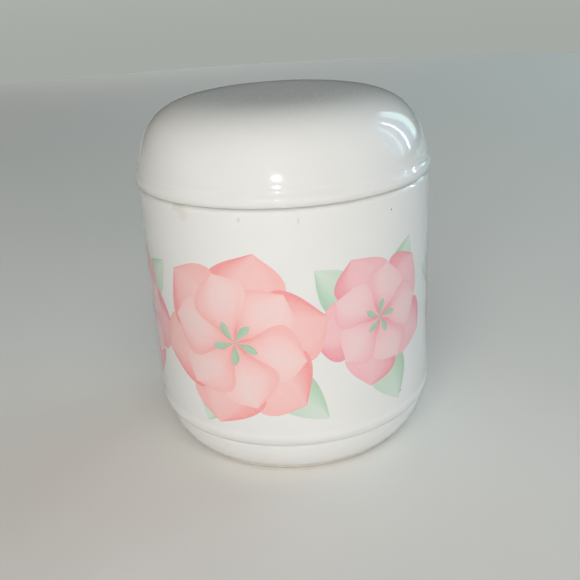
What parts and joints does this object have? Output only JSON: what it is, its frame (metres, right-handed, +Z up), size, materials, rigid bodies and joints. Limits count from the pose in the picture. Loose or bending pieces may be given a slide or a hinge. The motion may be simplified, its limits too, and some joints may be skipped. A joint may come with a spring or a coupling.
{
  "type": "powder jar",
  "caption": "Round white porcelain powder jar with a straight wall, a small foot, and a domed lid that lifts off.",
  "frame": {"origin": "centre of the foot ring, on the surface that the jar stands on", "axes": "+Z up along the jar's axis; -Y is the front, where the middle of the floral print faces"},
  "size_m": [0.091, 0.091, 0.1089],
  "materials": {
    "glazed_porcelain": "clear gloss glaze over white porcelain, with a fired-on floral print",
    "lid_porcelain": "clear gloss glaze over white porcelain"
  },
  "bodies": {
    "jar": {"jar_body": "glazed_porcelain"},
    "lid": {"lid": "lid_porcelain"}
  },
  "joints": [
    {"name": "lid_lift", "type": "slide", "parent": "jar", "child": "lid", "axis": [0, 0, 1], "range_m": [0, 0.12]}
  ]
}
